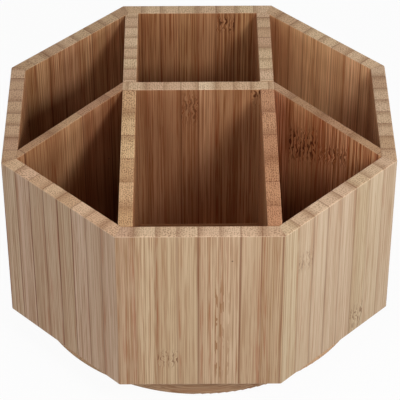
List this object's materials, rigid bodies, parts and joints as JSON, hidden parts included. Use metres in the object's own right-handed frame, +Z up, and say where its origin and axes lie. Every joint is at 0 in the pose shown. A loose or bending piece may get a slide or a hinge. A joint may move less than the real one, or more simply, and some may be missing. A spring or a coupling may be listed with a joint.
{
  "type": "rotating desk organizer",
  "caption": "Octagonal bamboo desk organizer: a tub with upright dividers for pens and tools, turning freely on a round base.",
  "frame": {"origin": "on the table, under the axis that the tub turns about", "axes": "+Z up along the axis of rotation, -Y out of the front wall, +X to the right seen from the front"},
  "size_m": [0.195, 0.195, 0.115],
  "materials": {
    "wall_bamboo": "laminated bamboo, vertical grain, sanded, clear satin",
    "divider_bamboo": "laminated bamboo, vertical grain, sanded, clear satin",
    "floor_bamboo": "laminated bamboo, flat grain, sanded",
    "base_bamboo": "laminated bamboo, flat grain, sanded, clear satin",
    "foot_rubber": "matt",
    "bearing_steel": "zinc-plated pressed sheet",
    "ball_steel": "polished",
    "screw_steel": "zinc-plated"
  },
  "bodies": {
    "base": {"base_disc": "base_bamboo", "rubber_foot_back_right": "foot_rubber", "rubber_foot_back_left": "foot_rubber", "rubber_foot_front_left": "foot_rubber", "rubber_foot_front_right": "foot_rubber", "bearing_lower_plate": "bearing_steel", "base_screws": "screw_steel"},
    "ball_ring": {"bearing_balls": "ball_steel"},
    "tub": {"wall_front": "wall_bamboo", "wall_front_right": "wall_bamboo", "wall_right": "wall_bamboo", "wall_back_right": "wall_bamboo", "wall_back": "wall_bamboo", "wall_back_left": "wall_bamboo", "wall_left": "wall_bamboo", "wall_front_left": "wall_bamboo", "front_divider_left": "divider_bamboo", "front_divider_right": "divider_bamboo", "rear_divider_left": "divider_bamboo", "rear_divider_right": "divider_bamboo", "cross_divider": "divider_bamboo", "diagonal_divider_left": "divider_bamboo", "diagonal_divider_right": "divider_bamboo", "tub_floor": "floor_bamboo", "bearing_upper_plate": "bearing_steel", "floor_screws": "screw_steel"}
  },
  "joints": [
    {"name": "tub_spin", "type": "hinge", "parent": "base", "child": "tub", "pos_m": [0, 0, 0.014], "axis": [0, 0, 1], "continuous": true},
    {"name": "ball_ring_spin", "type": "hinge", "parent": "base", "child": "ball_ring", "pos_m": [0, 0, 0.014], "axis": [0, 0, 1], "continuous": true}
  ],
  "couplings": [
    {"joint": "ball_ring_spin", "follows": "tub_spin", "ratio": 0.5}
  ]
}
